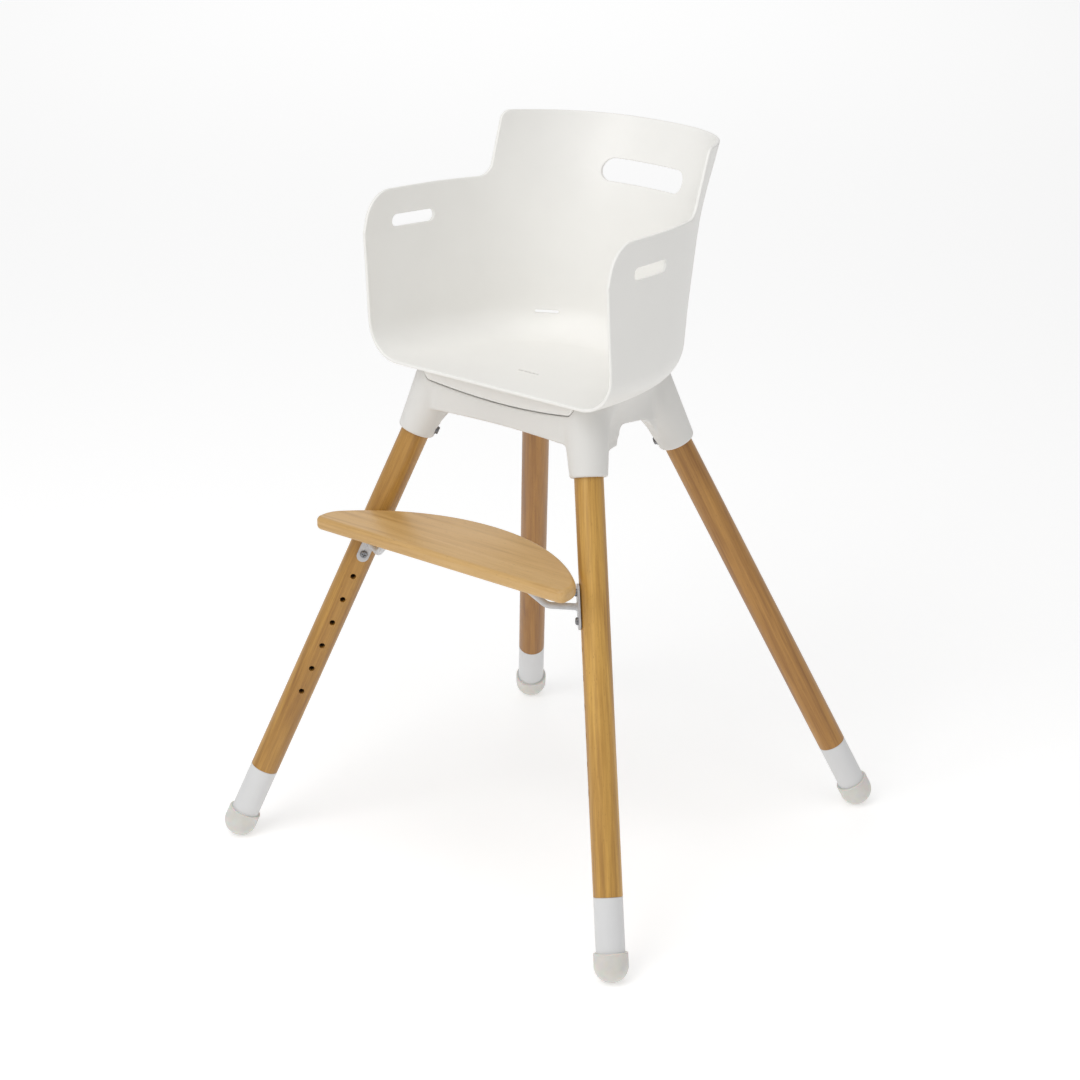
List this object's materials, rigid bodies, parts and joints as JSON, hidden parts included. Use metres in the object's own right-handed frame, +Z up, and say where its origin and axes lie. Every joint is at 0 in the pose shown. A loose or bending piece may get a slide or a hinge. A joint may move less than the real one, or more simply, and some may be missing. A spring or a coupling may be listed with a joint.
{
  "type": "baby high chair",
  "caption": "Baby high chair: plastic bucket seat shell on a moulded base, splayed round wooden legs with capped feet, and a height-adjustable wooden footrest.",
  "frame": {"origin": "on the floor, in the middle between the four feet", "axes": "+Z up, -Y is the front of the chair, +X to the right of someone facing the chair"},
  "size_m": [0.6276, 0.5963, 0.8849],
  "materials": {
    "shell_plastic": "fine satin moulded",
    "base_plastic": "satin moulded",
    "sleeve_plastic": "satin moulded",
    "cap_rubber": "soft translucent",
    "leg_wood": "satin lacquered beech",
    "board_wood": "satin lacquered beech",
    "bracket_steel": "light grey powder coat",
    "screw_steel": "zinc plated",
    "insert_brass": "machined"
  },
  "bodies": {
    "frame": {"seat_shell": "shell_plastic", "base_frame": "base_plastic", "shell_screws": "screw_steel", "shell_screw_washers": "screw_steel", "shell_inserts": "insert_brass", "clamp_bolts": "screw_steel", "clamp_washers": "screw_steel", "barrel_nuts": "screw_steel", "leg_front_left": "leg_wood", "leg_sleeve_front_left": "sleeve_plastic", "foot_cap_front_left": "cap_rubber", "leg_front_right": "leg_wood", "leg_sleeve_front_right": "sleeve_plastic", "foot_cap_front_right": "cap_rubber", "leg_back_left": "leg_wood", "leg_sleeve_back_left": "sleeve_plastic", "foot_cap_back_left": "cap_rubber", "leg_back_right": "leg_wood", "leg_sleeve_back_right": "sleeve_plastic", "foot_cap_back_right": "cap_rubber", "leg_inserts_left": "insert_brass", "leg_inserts_right": "insert_brass"},
    "footrest": {"footrest_board": "board_wood", "board_screws": "screw_steel", "board_screw_washers": "screw_steel"},
    "bracket_left": {"footrest_bracket_left": "bracket_steel", "bracket_screws_left": "screw_steel"},
    "bracket_right": {"footrest_bracket_right": "bracket_steel", "bracket_screws_right": "screw_steel"}
  },
  "joints": [
    {"name": "footrest_height", "type": "slide", "parent": "frame", "child": "footrest", "axis": [0, -0.3031, -0.953], "range_m": [0, 0.1896], "deforming": ["bracket_screws_left", "bracket_screws_right"]},
    {"name": "bracket_left_spread", "type": "slide", "parent": "footrest", "child": "bracket_left", "axis": [-1, 0, 0], "range_m": [0, 0.0573]},
    {"name": "bracket_right_spread", "type": "slide", "parent": "footrest", "child": "bracket_right", "axis": [1, 0, 0], "range_m": [0, 0.0573]}
  ],
  "couplings": [
    {"joint": "bracket_left_spread", "follows": "footrest_height", "ratio": 0.3011},
    {"joint": "bracket_right_spread", "follows": "footrest_height", "ratio": 0.3011}
  ]
}
